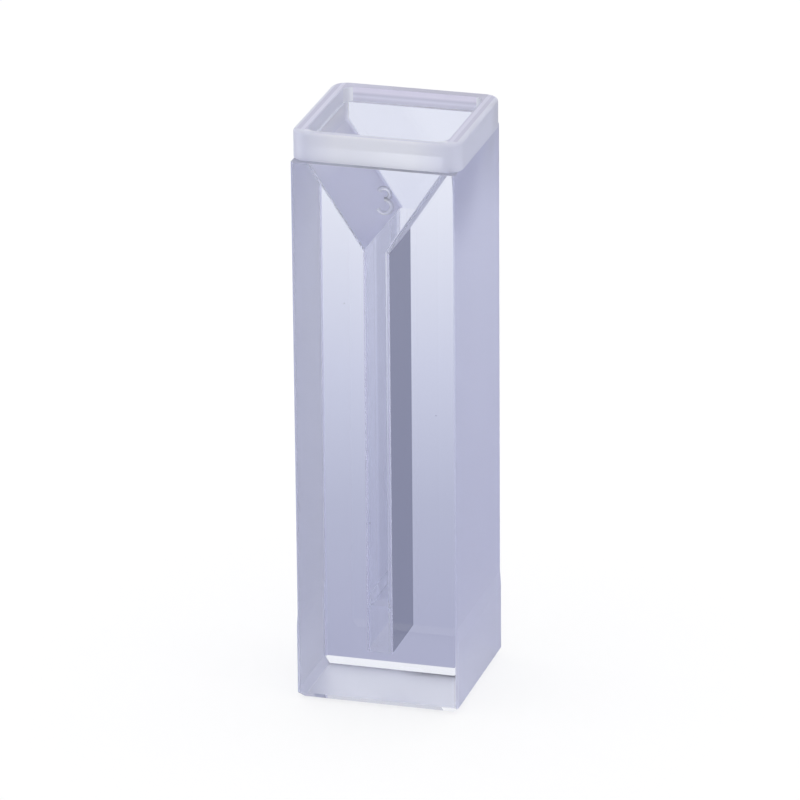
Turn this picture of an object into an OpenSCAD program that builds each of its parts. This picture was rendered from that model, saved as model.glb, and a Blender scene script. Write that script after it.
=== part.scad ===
// Disposable spectrophotometer cuvette: a square block with a narrow sample slot under a V-shaped funnel.
// X runs across the two frosted sides, Y through the two clear windows, and Z up from the base.

/* [Body] */
// Width of the block across its frosted sides, just under the collar
body_w = 12.5; // [12.3:0.1:13]
// Depth of the block across its clear windows
body_d = 12.5; // [12.3:0.1:13]
// Height from the base to the top of the collar
total_h = 45; // [40:0.5:60]
// Mould draft that each frosted side loses on its way down to the foot
side_draft = 0.06; // [0.01:0.01:0.12]
// Radius of the block's upright edges
upright_edge_r = 0.3; // [0.15:0.05:0.5]

/* [Foot] */
// How far the foot stands out from each frosted side
foot_proud = 0.13; // [0.03:0.01:0.25]
// Height of the upright part of the foot
foot_h = 5.6; // [3:0.1:8]
// Height over which the foot slopes back to the frosted side
foot_slope_h = 1.2; // [0.5:0.1:2]
// Slope cut off the edges under the base
base_chamfer = 0.5; // [0.2:0.05:0.7]

/* [Collar] */
// Height of the collar round the mouth
collar_h = 2.2; // [1.8:0.1:4]
// How far the collar stands out over each frosted side
collar_side_proud = 0.2; // [0.02:0.02:0.4]
// Depth of the step where the collar is set back from the front window
collar_front_step = 0.5; // [0.1:0.05:0.7]
// Radius of the collar's corners, seen from above
collar_corner_r = 1.2; // [0.8:0.1:2]
// Radius of the edge round the top of the collar
collar_top_r = 0.25; // [0.1:0.05:0.35]

/* [Lip] */
// Opening of the lip across the frosted sides
lip_w = 10.8; // [10.3:0.1:11.2]
// Opening of the lip across the windows
lip_d = 10.5; // [10.2:0.1:10.6]
// Depth of the lip below the top of the collar
lip_depth = 1.1; // [0.6:0.1:1.6]
// Radius of the lip's inner corners
lip_corner_r = 0.9; // [0.5:0.1:1.4]

/* [Funnel] */
// Opening of the funnel between its side walls
funnel_w = 10.5; // [9:0.1:10.7]
// Height of the throat, where the side walls of the funnel meet the slot
throat_z = 36.05; // [25:0.5:37]
// Sideways run of the funnel's side walls for each millimetre of rise
funnel_lean = 0.66; // [0.62:0.02:0.9]

/* [Slot] */
// Width of the sample slot
slot_w = 2; // [1:0.1:4.5]
// Light path through the sample, from window to window
light_path = 10; // [9:0.5:10]
// Height of the slot's floor
slot_floor_z = 4.1; // [2.5:0.1:15]
// Radius of the corners where the walls of the slot and of the funnel meet the windows
inner_corner_r = 0.3; // [0.1:0.05:0.45]

/* [Hidden] */
$fn = 96;
cut = 1;
overlap = 1;
shoulder_z = total_h - collar_h;
lip_z = total_h - lip_depth;
foot_w = body_w + 2 * (foot_proud - side_draft);
collar_w = body_w + 2 * collar_side_proud;
collar_d = body_d - collar_front_step;
collar_shift = collar_front_step / 2;
funnel_reach = 2 * (total_h - throat_z) + body_w;

// A rectangle with round corners, centred on the origin
module round_rect(w, d, r) {
    square([w - 2 * r, d], center = true);
    square([w, d - 2 * r], center = true);
    for (x = [-1, 1], y = [-1, 1])
        translate([x * (w / 2 - r), y * (d / 2 - r)]) circle(r);
}

// Stands a drawing made in X and Z upright and runs it along Y, centred
module along_y(length) {
    translate([0, length / 2, 0]) rotate([90, 0, 0]) linear_extrude(length) children();
}

// Stands a drawing made in Y and Z upright and runs it along X, centred
module along_x(length) {
    rotate([0, 0, 90]) along_y(length) children();
}

// The outline of a bar of height h whose two upper edges are round
module soft_bar(w, h, edge_r) {
    translate([-w / 2, 0]) square([w, h - edge_r]);
    translate([-w / 2 + edge_r, 0]) square([w - 2 * edge_r, h]);
    for (x = [-1, 1]) translate([x * (w / 2 - edge_r), h - edge_r]) circle(edge_r);
}

// A slab with round corners and a round edge on top
module soft_slab(w, d, h, corner_r, edge_r) {
    along_x(w - 2 * corner_r) soft_bar(d, h, edge_r);
    along_y(d - 2 * corner_r) soft_bar(w, h, edge_r);
    for (x = [-1, 1], y = [-1, 1])
        translate([x * (w / 2 - corner_r), y * (d / 2 - corner_r), 0]) rotate_extrude() {
            square([corner_r, h - edge_r]);
            square([corner_r - edge_r, h]);
            translate([corner_r - edge_r, h - edge_r]) circle(edge_r);
        }
}

// Half of the block seen from the front: foot, slope and drafted frosted side
function side_points(s) = [
    [s * (foot_w / 2 - base_chamfer), 0],
    [s * foot_w / 2, base_chamfer],
    [s * foot_w / 2, foot_h],
    [s * (body_w / 2 - side_draft), foot_h + foot_slope_h],
    [s * body_w / 2, shoulder_z]
];

// The block's outline between the frosted sides
module front_outline() {
    left = side_points(-1);
    polygon(concat(side_points(1), [for (i = [len(left) - 1 : -1 : 0]) left[i]]));
}

// The block's outline between the windows, which are parallel
module side_outline() {
    polygon([
        [-body_d / 2 + base_chamfer, 0], [body_d / 2 - base_chamfer, 0],
        [body_d / 2, base_chamfer], [body_d / 2, shoulder_z],
        [-body_d / 2, shoulder_z], [-body_d / 2, base_chamfer]
    ]);
}

// The solid block under the collar
module block() {
    intersection() {
        along_y(body_d) front_outline();
        along_x(foot_w) side_outline();
        linear_extrude(shoulder_z) round_rect(foot_w, body_d, upright_edge_r);
    }
}

// The collar, set back from the front window and flush with the back one, with a root sunk into the block
module collar() {
    translate([0, collar_shift, shoulder_z])
        soft_slab(collar_w, collar_d, collar_h, collar_corner_r, collar_top_r);
    translate([0, collar_shift, shoulder_z - overlap]) linear_extrude(2 * overlap)
        round_rect(body_w - 2 * upright_edge_r, collar_d - 2 * upright_edge_r, collar_corner_r);
}

// The space on the inner side of one leaning wall of the funnel, with round corners along that wall
module beside_wall() {
    translate([slot_w / 2, 0, throat_z]) rotate([0, atan(funnel_lean), 0])
        translate([-funnel_reach / 2, 0, -funnel_reach / 2])
            linear_extrude(2 * funnel_reach) round_rect(funnel_reach, light_path, inner_corner_r);
}

// The funnel: what lies inside both leaning walls and the upright walls above them
module funnel() {
    intersection() {
        beside_wall();
        mirror([1, 0, 0]) beside_wall();
        translate([0, 0, throat_z - slot_w])
            linear_extrude(total_h - throat_z + slot_w) round_rect(funnel_w, light_path, inner_corner_r);
    }
}

// The hollow from the lip down to the slot's floor
module hollow() {
    translate([0, 0, lip_z]) linear_extrude(lip_depth + cut) round_rect(lip_w, lip_d, lip_corner_r);
    funnel();
    translate([0, 0, slot_floor_z])
        linear_extrude(throat_z - slot_floor_z + cut) round_rect(slot_w, light_path, inner_corner_r);
}

module cuvette() {
    color([0.84, 0.85, 0.93, 0.5]) difference() {
        union() {
            block();
            collar();
        }
        hollow();
    }
}

cuvette();
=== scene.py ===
import math

import bmesh
import bpy
from mathutils import Matrix, Vector


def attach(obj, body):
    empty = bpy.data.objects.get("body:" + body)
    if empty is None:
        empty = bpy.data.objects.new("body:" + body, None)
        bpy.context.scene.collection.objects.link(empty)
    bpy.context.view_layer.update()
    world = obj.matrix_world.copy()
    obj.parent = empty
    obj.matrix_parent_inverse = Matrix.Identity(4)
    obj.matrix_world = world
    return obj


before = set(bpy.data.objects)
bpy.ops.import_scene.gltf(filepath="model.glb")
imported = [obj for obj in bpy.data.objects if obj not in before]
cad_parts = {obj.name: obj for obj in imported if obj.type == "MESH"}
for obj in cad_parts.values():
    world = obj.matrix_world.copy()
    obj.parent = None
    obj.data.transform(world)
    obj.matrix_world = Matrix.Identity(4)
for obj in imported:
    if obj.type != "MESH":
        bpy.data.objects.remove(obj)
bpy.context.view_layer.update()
MM = 0.001

# ---------------------------------------------------------------- sizes, in millimetres
BODY_HALF = 6.25
WINDOW_INSIDE = 5.0

# ---------------------------------------------------------------- camera, in degrees and millimetres
CAMERA_AZIMUTH = 16.1
CAMERA_ELEVATION = 21.1
CAMERA_DISTANCE = 555.0
CAMERA_ROLL = 0.5
CAMERA_TARGET = (0.17, 0.0, 22.38)
CAMERA_LENS = 333.5
CAMERA_SENSOR = 36.0
CAMERA_NEAR = 10.0
CAMERA_FAR = 20000.0


def set_camera():
    """A long lens from the front right and above, turned by a small roll about its own axis."""
    azimuth = math.radians(CAMERA_AZIMUTH)
    elevation = math.radians(CAMERA_ELEVATION)
    target = Vector(CAMERA_TARGET) * MM
    away = Vector((math.sin(azimuth) * math.cos(elevation), -math.cos(azimuth) * math.cos(elevation),
                   math.sin(elevation)))
    turn = (-away).to_track_quat("-Z", "Y").to_matrix().to_4x4()
    roll = Matrix.Rotation(math.radians(-CAMERA_ROLL), 4, "Z")
    data = bpy.data.cameras.new("camera")
    data.lens = CAMERA_LENS
    data.sensor_width = CAMERA_SENSOR
    data.clip_start = CAMERA_NEAR * MM
    data.clip_end = CAMERA_FAR * MM
    camera = bpy.data.objects.new("camera", data)
    bpy.context.scene.collection.objects.link(camera)
    camera.matrix_world = Matrix.Translation(target + away * CAMERA_DISTANCE * MM) @ turn @ roll
    bpy.context.scene.camera = camera


# ---------------------------------------------------------------- node helpers
BLACK = (0.0, 0.0, 0.0)
WHITE = (1.0, 1.0, 1.0)

# Where a ramp's new stop is put before it gets its own place
NEW_STOP = 0.5

# The two inputs and the output that a Mix node keeps for numbers, and those that it keeps for colours
MIX_NUMBERS = (2, 3, 0)
MIX_COLOURS = (6, 7, 2)


def srgb(r, g, b):
    """A colour given as a screen shows it, from 0 to 255, made linear."""
    def lin(v):
        v /= 255.0
        return v / 12.92 if v <= 0.04045 else ((v + 0.055) / 1.055) ** 2.4
    return (lin(r), lin(g), lin(b))


def new_tree(name):
    """A material with an empty node tree."""
    material = bpy.data.materials.new(name)
    material.use_nodes = True
    tree = material.node_tree
    tree.nodes.clear()
    return material, tree


def principled(name):
    """A material that is one Principled shader, still to be set."""
    material, tree = new_tree(name)
    out = tree.nodes.new("ShaderNodeOutputMaterial")
    shader = tree.nodes.new("ShaderNodeBsdfPrincipled")
    tree.links.new(shader.outputs[0], out.inputs[0])
    return material, tree, shader


def feed(tree, socket, value):
    """Gives a socket a colour, a number or what another node puts out."""
    if isinstance(value, tuple):
        socket.default_value = (*value, 1.0)
    elif isinstance(value, (int, float)):
        socket.default_value = value
    else:
        tree.links.new(value, socket)


def math_node(tree, operation, *values):
    node = tree.nodes.new("ShaderNodeMath")
    node.operation = operation
    for socket, value in zip(node.inputs, values):
        feed(tree, socket, value)
    return node.outputs[0]


def vector_node(tree, operation, vector):
    node = tree.nodes.new("ShaderNodeVectorMath")
    node.operation = operation
    tree.links.new(vector, node.inputs[0])
    return node


def parts_of(tree, vector):
    """The x, y and z of a vector."""
    node = tree.nodes.new("ShaderNodeSeparateXYZ")
    tree.links.new(vector, node.inputs[0])
    return node.outputs


def ramp_node(tree, fac, stops):
    """Colours between stops, each with its place from 0 to 1."""
    node = tree.nodes.new("ShaderNodeValToRGB")
    ramp = node.color_ramp
    ramp.interpolation = "LINEAR"
    while len(ramp.elements) < len(stops):
        ramp.elements.new(NEW_STOP)
    for element, (place, colour) in zip(ramp.elements, stops):
        element.position = place
        element.color = (*colour, 1.0)
    tree.links.new(fac, node.inputs[0])
    return node.outputs[0]


def graded(tree, value, stops):
    """Colours that change along a value, with each stop's place in the value's own unit."""
    low, high = stops[0][0], stops[-1][0]
    span = high - low
    share = math_node(tree, "MULTIPLY_ADD", value, 1.0 / span, -low / span)
    return ramp_node(tree, share, [((place - low) / span, colour) for place, colour in stops])


def blend(tree, fac, a, b):
    """A value or a colour that goes from a to b as fac goes from 0 to 1."""
    node = tree.nodes.new("ShaderNodeMix")
    numbers = all(isinstance(v, (int, float)) or getattr(v, "type", "") == "VALUE" for v in (a, b))
    node.data_type = "FLOAT" if numbers else "RGBA"
    first, second, result = MIX_NUMBERS if numbers else MIX_COLOURS
    feed(tree, node.inputs[0], fac)
    feed(tree, node.inputs[first], a)
    feed(tree, node.inputs[second], b)
    return node.outputs[result]


def layered(tree, value, layers):
    """Starts from one value or colour and lays others over it, each where its own mask is 1."""
    for mask, layer in layers:
        value = blend(tree, mask, value, layer)
    return value


def above(tree, value, bound):
    return math_node(tree, "GREATER_THAN", value, bound)


def below(tree, value, bound):
    return math_node(tree, "LESS_THAN", value, bound)


def size_of(tree, value):
    return math_node(tree, "ABSOLUTE", value)


def both(tree, a, b):
    return math_node(tree, "MULTIPLY", a, b)


def either(tree, a, b):
    return math_node(tree, "MAXIMUM", a, b)


# ---------------------------------------------------------------- plastic
PLASTIC_IOR = 1.57
CLEAR_TINT = (0.93, 0.94, 0.985)
INSIDE_TINT = (1.0, 1.0, 1.0)
HIGH_WINDOW_TINT = (0.88, 0.89, 0.95)
FOOT_TINT = (0.84, 0.85, 0.99)
FROSTED_TINT = (0.80, 0.81, 0.98)
FROSTED_TOP_TINT = (0.74, 0.75, 0.93)
# The funnel's lilac tint with painted shade: darker low in the funnel, lighter up toward the mouth
FUNNEL_LOW_TINT_AND_SHADE = (0.72, 0.72, 0.87)
FUNNEL_HIGH_TINT_AND_LIGHT = (0.98, 0.98, 1.0)
# A milky finish; on the lip's round corners the same colour is a painted highlight
MILKY_AND_HIGHLIGHT_TINT = (0.97, 0.98, 1.0)
COLLAR_TINT = (0.80, 0.81, 0.91)
RIM_TINT = (0.66, 0.65, 0.78)
# A painted highlight: a lighter line along the inner edge of the flat rim
RIM_HIGHLIGHT_TINT = (0.80, 0.79, 0.92)
LIP_TINT = (0.92, 0.93, 1.0)
# Painted reflection bands on the lip's walls: dark, middle and dark again, with a painted highlight at the
# top
LIP_PAINTED_DARK_BAND = (0.66, 0.65, 0.76)
LIP_PAINTED_MIDDLE_BAND = (0.82, 0.81, 0.93)
LIP_PAINTED_HIGHLIGHT = (0.90, 0.86, 0.98)
# Painted shade: a dark line on the ledge in front of and under the collar
LEDGE_PAINTED_SHADE = (0.45, 0.46, 0.55)
CHAMFER_TINT = (1.0, 1.0, 1.0)
# Painted shade on the chamfer that faces down along the front of the base
FRONT_CHAMFER_PAINTED_SHADE = (0.47, 0.48, 0.56)
CLEAR_TRANSMISSION = 1.0
FROSTED_TRANSMISSION = 0.82
FUNNEL_TRANSMISSION = 0.75
FUNNEL_HIGH_TRANSMISSION = 0.4
CORNER_TRANSMISSION = 0.45
MILKY_TRANSMISSION = 0.35
CLEAR_ROUGHNESS = 0.0
SIDE_ROUGHNESS = 0.7
FUNNEL_ROUGHNESS = 0.3
FUNNEL_HIGH_ROUGHNESS = 0.6
COLLAR_ROUGHNESS = 0.4
BASE_ROUGHNESS = 0.36

# Where each finish, painted highlight and painted shade begins or ends on the moulding, in millimetres from
# its axis or from its base
SIDE_FROM = 5.6
COLLAR_SIDE_FROM = 5.5
COLLAR_FRONT_FROM = 5.3
LIP_HALF_W = 5.45
LIP_HALF_D = 5.3
RIM_FRONT_FROM = 5.0
INSIDE_HALF = 5.1
FUNNEL_HALF = 5.5
CORNER_FROM = 4.65
FRONT_CHAMFER_HALF = 5.0
BASE_TO = 0.02
CHAMFER_TO = 0.6
THROAT_Z = 36.0
LEDGE_FROM = 42.75
COLLAR_FROM = 42.79
LEDGE_TO = 42.85
LIP_FROM = 43.85
RIM_FROM = 44.75
RIM_FLAT_FROM = 44.9
# The painted highlight line on the rim runs between these two distances from the axis
RIM_HIGHLIGHT_FROM = 5.5
RIM_HIGHLIGHT_TO = 5.8
# Beyond this the rim's round outer edge keeps the lighter collar tint, a painted highlight
RIM_EDGE_FROM = 6.12

# The least share of a face's normal along an axis for the face to count as turned to it, as
# squarely turned to it, and as level
TURNED = 0.3
SQUARE = 0.5
LEVEL = 0.95

# Tints, painted shade, painted highlights and masks that change with height, or with the distance from the
# middle, in millimetres
SIDE_TINTS = ((3.0, FOOT_TINT), (8.0, FROSTED_TINT), (35.0, FROSTED_TINT), (42.0, FROSTED_TOP_TINT))
# The funnel's tint with painted shade, darker low down and lighter toward the mouth
FUNNEL_TINTS_AND_SHADE = ((40.5, FUNNEL_LOW_TINT_AND_SHADE), (43.5, FUNNEL_HIGH_TINT_AND_LIGHT))
# Painted reflection bands up the lip's walls, with a painted highlight along their top edge
LIP_PAINTED_BANDS = ((43.9, LIP_PAINTED_DARK_BAND), (44.05, LIP_PAINTED_DARK_BAND), (44.25, LIP_PAINTED_MIDDLE_BAND),
             (44.45, LIP_PAINTED_DARK_BAND), (44.65, LIP_PAINTED_HIGHLIGHT), (45.0, LIP_PAINTED_HIGHLIGHT))
MILKY_MIDDLE = ((3.0, WHITE), (5.4, BLACK))
FUNNEL_HIGH = ((41.0, BLACK), (43.5, WHITE))


def surface(tree):
    """The place of each point in millimetres, and the way its face looks, in the moulding's frame."""
    coords = tree.nodes.new("ShaderNodeTexCoord")
    scaled = vector_node(tree, "SCALE", coords.outputs["Object"])
    scaled.inputs["Scale"].default_value = 1.0 / MM
    return parts_of(tree, scaled.outputs[0]), parts_of(tree, coords.outputs["Normal"])


def block_regions(tree, place, facing):
    """Masks on the block: frosted sides, base, sloped edges and the inside of the windows."""
    x, y, z = place
    turn_x, turn_y, turn_z = facing
    inside = both(tree, above(tree, size_of(tree, turn_y), SQUARE),
                  below(tree, size_of(tree, y), INSIDE_HALF))
    high_window = both(tree, above(tree, y, 0.0), above(tree, z, THROAT_Z))
    slope = both(tree, above(tree, size_of(tree, turn_y), TURNED),
                 both(tree, below(tree, turn_z, -TURNED), below(tree, z, CHAMFER_TO)))
    front = both(tree, below(tree, y, 0.0), below(tree, size_of(tree, x), FRONT_CHAMFER_HALF))
    return {
        "side": both(tree, above(tree, size_of(tree, turn_x), TURNED),
                     above(tree, size_of(tree, x), SIDE_FROM)),
        "base": below(tree, z, BASE_TO),
        "inside": both(tree, inside, below(tree, z, LIP_FROM)),
        "high window": both(tree, inside, high_window),
        "slope": slope,
        "front slope": both(tree, slope, front),
    }


def funnel_regions(tree, place, facing):
    """Masks on the side walls of the funnel and on their round corners at the front window."""
    x, y, z = place
    turn_x = facing[0]
    inner = both(tree, above(tree, size_of(tree, turn_x), TURNED),
                 below(tree, size_of(tree, x), FUNNEL_HALF))
    funnel = both(tree, inner, above(tree, z, THROAT_Z))
    return {
        "funnel": funnel,
        "funnel high": both(tree, funnel, graded(tree, z, FUNNEL_HIGH)),
        "corner": both(tree, funnel, below(tree, y, -CORNER_FROM)),
    }


def collar_regions(tree, place, facing):
    """Masks on the collar: its outside, its lip, its flat rim, and the ledge in front of it, with the
    places of painted highlights on the rim and lip, painted reflection bands on the lip, and painted shade
    on the ledge.
    """
    x, y, z = place
    turn_x, turn_y, turn_z = facing
    off_x, off_y = size_of(tree, x), size_of(tree, y)
    front = below(tree, y, -COLLAR_FRONT_FROM)
    outside = both(tree, either(tree, above(tree, off_x, COLLAR_SIDE_FROM), front),
                   above(tree, z, COLLAR_FROM))
    lip = both(tree, above(tree, z, LIP_FROM),
               both(tree, below(tree, off_x, LIP_HALF_W), below(tree, off_y, LIP_HALF_D)))
    facing_y = above(tree, size_of(tree, turn_y), SQUARE)
    milky = both(tree, both(tree, front, facing_y), graded(tree, off_x, MILKY_MIDDLE))
    flat = both(tree, above(tree, z, RIM_FLAT_FROM), above(tree, turn_z, LEVEL))
    rim = both(tree, flat, above(tree, y, -RIM_FRONT_FROM))
    line = both(tree, above(tree, off_x, RIM_HIGHLIGHT_FROM), below(tree, off_x, RIM_HIGHLIGHT_TO))
    corner = both(tree, above(tree, size_of(tree, turn_x), TURNED),
                  above(tree, size_of(tree, turn_y), TURNED))
    return {
        "collar": either(tree, outside, either(tree, lip, above(tree, z, RIM_FROM))),
        "milky": both(tree, milky, outside),
        # The rim stops short of its outer round edge, which keeps a lighter painted highlight
        "rim": both(tree, rim, below(tree, off_x, RIM_EDGE_FROM)),
        "rim highlight": both(tree, rim, line),
        "lip": lip,
        "lip corner highlight": both(tree, lip, corner),
        "lip back bands": both(tree, lip, facing_y),
        "ledge": both(tree, both(tree, above(tree, z, LEDGE_FROM), below(tree, z, LEDGE_TO)),
                      both(tree, front, above(tree, turn_z, LEVEL))),
    }


def plastic_colour(tree, height, block, funnel, collar):
    """The tint of each region, with painted highlights and painted shade on some of them. A later layer
    covers an earlier one.
    """
    return layered(tree, CLEAR_TINT, (
        (block["inside"], INSIDE_TINT),
        (block["high window"], HIGH_WINDOW_TINT),
        (block["side"], graded(tree, height, SIDE_TINTS)),
        (block["slope"], CHAMFER_TINT),
        # Painted shade on the downward-facing chamfer at the front of the base
        (block["front slope"], FRONT_CHAMFER_PAINTED_SHADE),
        # The funnel's tint with painted shade, darker low down and lighter toward the mouth
        (funnel["funnel"], graded(tree, height, FUNNEL_TINTS_AND_SHADE)),
        (funnel["corner"], MILKY_AND_HIGHLIGHT_TINT),
        (collar["collar"], COLLAR_TINT),
        (collar["milky"], MILKY_AND_HIGHLIGHT_TINT),
        (collar["lip"], LIP_TINT),
        # Painted reflection bands and a painted highlight on the lip's walls that face front and back
        (collar["lip back bands"], graded(tree, height, LIP_PAINTED_BANDS)),
        # Painted highlight on the lip's round corners
        (collar["lip corner highlight"], MILKY_AND_HIGHLIGHT_TINT),
        (collar["rim"], RIM_TINT),
        # Painted highlight: a lighter line along the rim's inner edge
        (collar["rim highlight"], RIM_HIGHLIGHT_TINT),
        # Painted shade line on the ledge under the collar
        (collar["ledge"], LEDGE_PAINTED_SHADE),
    ))


def plastic():
    """Clear windows, frosted sides, a milky collar and a satin funnel."""
    material, tree, shader = principled("clear_polystyrene")
    shader.inputs["IOR"].default_value = PLASTIC_IOR
    place, facing = surface(tree)
    block = block_regions(tree, place, facing)
    funnel = funnel_regions(tree, place, facing)
    collar = collar_regions(tree, place, facing)
    colour = plastic_colour(tree, place[2], block, funnel, collar)
    through = layered(tree, CLEAR_TRANSMISSION, (
        (block["side"], FROSTED_TRANSMISSION),
        (funnel["funnel"], FUNNEL_TRANSMISSION),
        (funnel["funnel high"], FUNNEL_HIGH_TRANSMISSION),
        (funnel["corner"], CORNER_TRANSMISSION),
        (collar["collar"], MILKY_TRANSMISSION),
    ))
    rough = layered(tree, CLEAR_ROUGHNESS, (
        (block["side"], SIDE_ROUGHNESS),
        (block["base"], BASE_ROUGHNESS),
        (funnel["funnel"], FUNNEL_ROUGHNESS),
        (funnel["funnel high"], FUNNEL_HIGH_ROUGHNESS),
        (collar["collar"], COLLAR_ROUGHNESS),
    ))
    tree.links.new(colour, shader.inputs["Base Color"])
    tree.links.new(through, shader.inputs["Transmission Weight"])
    tree.links.new(rough, shader.inputs["Roughness"])
    return material


# ---------------------------------------------------------------- floor, backdrop and light, in millimetres
FLOOR_SIZE = 4000.0
FLOOR_GAP = 0.05
FLOOR_GREY = (0.31, 0.31, 0.31)
FLOOR_GLOW = 0.7
PLAIN_PAPER = srgb(225, 227, 236)
# A painted shadow on the paper behind on the right, seen through the plastic
PAINTED_SHADOW_CORNER = srgb(132, 135, 158)
SKY_STRENGTH = 1.1

# The paper's tones by the distance from the middle of the base, as a share of PAPER_REACH: painted shade,
# darker near the base
PAPER_REACH = 200.0
PAPER_SHADE_TONES = (
    (0.05, srgb(176, 178, 202)),
    (0.2, srgb(186, 189, 210)),
    (0.35, srgb(207, 210, 228)),
    (0.6, srgb(238, 240, 248)),
)

# The painted shadow in the corner: the point it fans out from, how dark the fan is by the x of the
# direction from that point, and the slanted edge, in metres, to the right of which alone it shows
SHADE_FROM = (1.9, BODY_HALF)
SHADE_FAN = ((0.05, BLACK), (0.2, WHITE), (0.5, WHITE), (0.75, BLACK))
SHADE_SLANT = 0.29
SHADE_EDGE = ((2.2 * MM, BLACK), (2.9 * MM, WHITE))

# The tones of the backdrop and of the sky, from straight down at 0 to straight up at 1
BACKDROP_TONES = (
    (0.5, srgb(250, 252, 255)),
    (0.62, srgb(255, 255, 255)),
    (0.635, srgb(255, 255, 255)),
    (0.66, srgb(221, 223, 235)),
    (0.8, srgb(221, 223, 235)),
    (1.0, srgb(244, 246, 252)),
)
SKY_TONES = ((0.5, srgb(226, 227, 234)), (1.0, srgb(255, 255, 255)))


def seen_paper(tree):
    """The paper as the plastic shows it: painted shade, darker near the base and paler further away, with a
    painted shadow in the corner behind on the right.
    """
    position = tree.nodes.new("ShaderNodeNewGeometry").outputs["Position"]
    distance = vector_node(tree, "LENGTH", position).outputs["Value"]
    paper = ramp_node(tree, math_node(tree, "DIVIDE", distance, PAPER_REACH * MM), PAPER_SHADE_TONES)
    away = vector_node(tree, "SUBTRACT", position)
    away.inputs[1].default_value = (SHADE_FROM[0] * MM, SHADE_FROM[1] * MM, 0.0)
    away_x, away_y, _ = parts_of(tree, away.outputs[0])
    turn_x, turn_y, _ = parts_of(tree, vector_node(tree, "NORMALIZE", away.outputs[0]).outputs[0])
    fan = both(tree, ramp_node(tree, turn_x, SHADE_FAN), above(tree, turn_y, 0.0))
    slant = math_node(tree, "MULTIPLY_ADD", away_y, SHADE_SLANT, away_x)
    return blend(tree, both(tree, fan, graded(tree, slant, SHADE_EDGE)), paper, PAINTED_SHADOW_CORNER)


def ray_masks(tree):
    """Masks for the rays straight from the camera, and for those that mirror off or pass through."""
    path = tree.nodes.new("ShaderNodeLightPath")
    bent = either(tree, path.outputs["Is Glossy Ray"], path.outputs["Is Transmission Ray"])
    return path.outputs["Is Camera Ray"], bent


def glow(tree, kind, colour, strength=1.0):
    """An Emission node for a surface, or a Background node for the world."""
    node = tree.nodes.new(kind)
    feed(tree, node.inputs["Color"], colour)
    feed(tree, node.inputs["Strength"], strength)
    return node.outputs[0]


def mix_shaders(tree, fac, a, b):
    node = tree.nodes.new("ShaderNodeMixShader")
    for socket, value in zip(node.inputs, (fac, a, b)):
        tree.links.new(value, socket)
    return node.outputs[0]


def set_floor():
    """Plain paper: white with a soft shadow to the camera, pale lilac with painted shade and a painted
    shadow through the plastic.
    """
    bpy.ops.mesh.primitive_plane_add(size=FLOOR_SIZE * MM, location=(0, 0, -FLOOR_GAP * MM))
    floor = bpy.context.object
    floor.name = "floor"
    material, tree = new_tree("floor")
    out = tree.nodes.new("ShaderNodeOutputMaterial")
    camera_ray, bent_ray = ray_masks(tree)
    lit = tree.nodes.new("ShaderNodeBsdfDiffuse")
    lit.inputs["Color"].default_value = (*FLOOR_GREY, 1.0)
    shown = tree.nodes.new("ShaderNodeAddShader")
    tree.links.new(glow(tree, "ShaderNodeEmission", WHITE, FLOOR_GLOW), shown.inputs[0])
    tree.links.new(lit.outputs[0], shown.inputs[1])
    plain = glow(tree, "ShaderNodeEmission", PLAIN_PAPER)
    paper = mix_shaders(tree, bent_ray, plain, glow(tree, "ShaderNodeEmission", seen_paper(tree)))
    tree.links.new(mix_shaders(tree, camera_ray, paper, shown.outputs[0]), out.inputs[0])
    floor.data.materials.append(material)


def set_world():
    """Soft light from all round: white to the camera, a pale backdrop through the plastic."""
    world = bpy.data.worlds.new("world")
    bpy.context.scene.world = world
    world.use_nodes = True
    tree = world.node_tree
    tree.nodes.clear()
    out = tree.nodes.new("ShaderNodeOutputWorld")
    camera_ray, bent_ray = ray_masks(tree)
    coords = tree.nodes.new("ShaderNodeTexCoord")
    up = parts_of(tree, coords.outputs["Generated"])[2]
    # The upward part of a direction runs from -1 to 1, and the ramps from 0 to 1
    height = math_node(tree, "MULTIPLY_ADD", up, 0.5, 0.5)
    backdrop = glow(tree, "ShaderNodeBackground", ramp_node(tree, height, BACKDROP_TONES))
    sky = glow(tree, "ShaderNodeBackground", ramp_node(tree, height, SKY_TONES), SKY_STRENGTH)
    white = glow(tree, "ShaderNodeBackground", WHITE)
    seen = mix_shaders(tree, bent_ray, sky, backdrop)
    tree.links.new(mix_shaders(tree, camera_ray, seen, white), out.inputs[0])


# ---------------------------------------------------------------- moulded digit and specks, in millimetres
DIGIT_CENTRE = (0.68, 40.18)
DIGIT_STROKE = 0.16
DIGIT_RISE = 0.06
DIGIT_FLATNESS = 0.3
DIGIT_TINT = (1.0, 1.0, 1.0)
DIGIT_ROUGHNESS = 0.32
DIGIT_TRANSMISSION = 1.0
STROKE_ROUNDNESS = 2
ARC_STEPS = 14

# Each bowl of the digit: the height of its centre, its radius, and the angles in degrees where it
# starts and ends
BOWLS = ((0.5, 0.44, 155.0, -90.0), (-0.46, 0.54, 90.0, -155.0))

# Each speck: its place across and up the window, and its radius
SPECKS = ((-0.46, 14.8, 0.05), (4.71, 23.9, 0.04), (-2.26, 32.1, 0.035))
SPECK_DEPTH_IN_RADII = 2
SPECK_ROUNDNESS = 2
DUST_TINT = (0.35, 0.35, 0.42)
DUST_ROUGHNESS = 0.6
DUST_STRENGTH = 0.5


def dust():
    """A see-through finish for specks in the clear plastic."""
    material, _, shader = principled("dust")
    shader.inputs["Base Color"].default_value = (*DUST_TINT, 1.0)
    shader.inputs["Roughness"].default_value = DUST_ROUGHNESS
    shader.inputs["Alpha"].default_value = DUST_STRENGTH
    return material


def raised_plastic():
    """Clear plastic with a slight satin, as moulded strokes have."""
    material, _, shader = principled("raised_plastic")
    shader.inputs["Base Color"].default_value = (*DIGIT_TINT, 1.0)
    shader.inputs["Transmission Weight"].default_value = DIGIT_TRANSMISSION
    shader.inputs["IOR"].default_value = PLASTIC_IOR
    shader.inputs["Roughness"].default_value = DIGIT_ROUGHNESS
    return material


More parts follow.
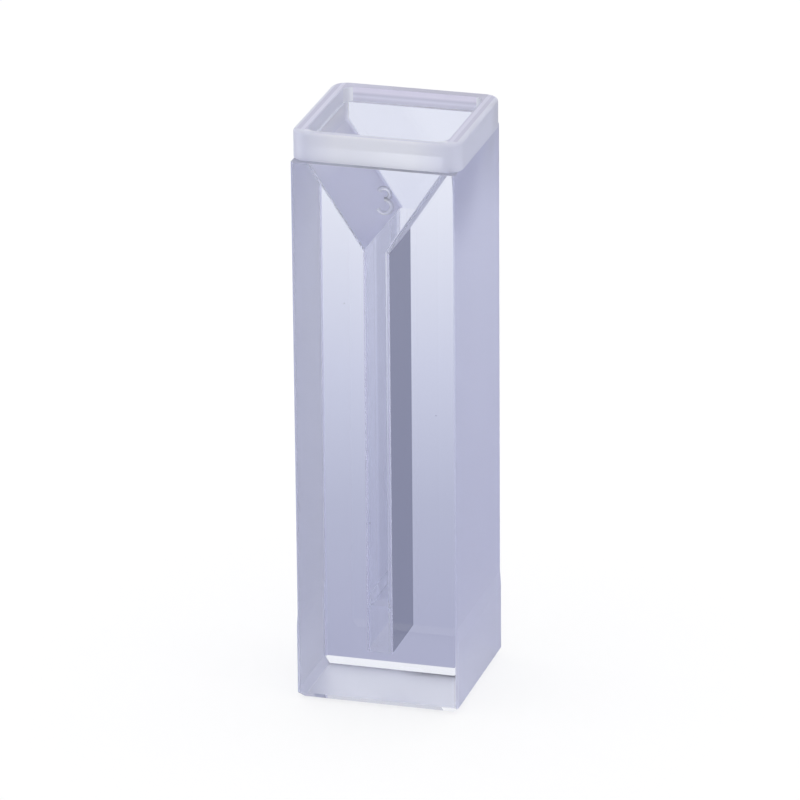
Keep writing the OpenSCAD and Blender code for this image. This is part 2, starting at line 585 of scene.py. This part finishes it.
def add_piece(name, mesh, material):
    mesh.materials.clear()
    mesh.materials.append(material)
    piece = bpy.data.objects.new(name, mesh)
    bpy.context.scene.collection.objects.link(piece)
    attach(piece, "root")


def bowl_points(centre_z, radius, start, end):
    """Points along one round stroke of the digit."""
    for i in range(ARC_STEPS + 1):
        angle = math.radians(start + (end - start) * i / ARC_STEPS)
        yield radius * math.cos(angle), centre_z + radius * math.sin(angle)


def add_digit():
    """A plain 3 in soft raised strokes, on the inside of the front window."""
    curve = bpy.data.curves.new("digit", "CURVE")
    curve.dimensions = "3D"
    curve.bevel_depth = DIGIT_STROKE * MM
    curve.bevel_resolution = STROKE_ROUNDNESS
    curve.use_fill_caps = True
    for bowl in BOWLS:
        points = list(bowl_points(*bowl))
        spline = curve.splines.new("POLY")
        spline.points.add(len(points) - 1)
        for point, (x, z) in zip(spline.points, points):
            point.co = (x * MM, 0.0, z * MM, 1.0)
    drawn = bpy.data.objects.new("drawn", curve)
    mesh = bpy.data.meshes.new_from_object(drawn)
    bpy.data.objects.remove(drawn)
    place = Vector((DIGIT_CENTRE[0], -WINDOW_INSIDE + DIGIT_RISE, DIGIT_CENTRE[1])) * MM
    mesh.transform(Matrix.Translation(place) @ Matrix.Diagonal((1.0, DIGIT_FLATNESS, 1.0, 1.0)))
    add_piece("moulded_digit", mesh, raised_plastic())


def add_specks():
    """Specks of dust moulded in just behind the front window."""
    finish = dust()
    for number, (x, z, radius) in enumerate(SPECKS, 1):
        ball = bmesh.new()
        bmesh.ops.create_icosphere(ball, subdivisions=SPECK_ROUNDNESS, radius=radius * MM)
        mesh = bpy.data.meshes.new(f"speck_{number}")
        ball.to_mesh(mesh)
        ball.free()
        y = -BODY_HALF + SPECK_DEPTH_IN_RADII * radius
        mesh.transform(Matrix.Translation(Vector((x, y, z)) * MM))
        add_piece(f"speck_{number}", mesh, finish)


def dress():
    """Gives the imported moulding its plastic."""
    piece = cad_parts["cuvette"]
    material = plastic()
    for slot in piece.material_slots:
        slot.material = material


set_camera()
set_floor()
set_world()
dress()
add_digit()
add_specks()
bpy.context.scene.view_settings.view_transform = "Standard"
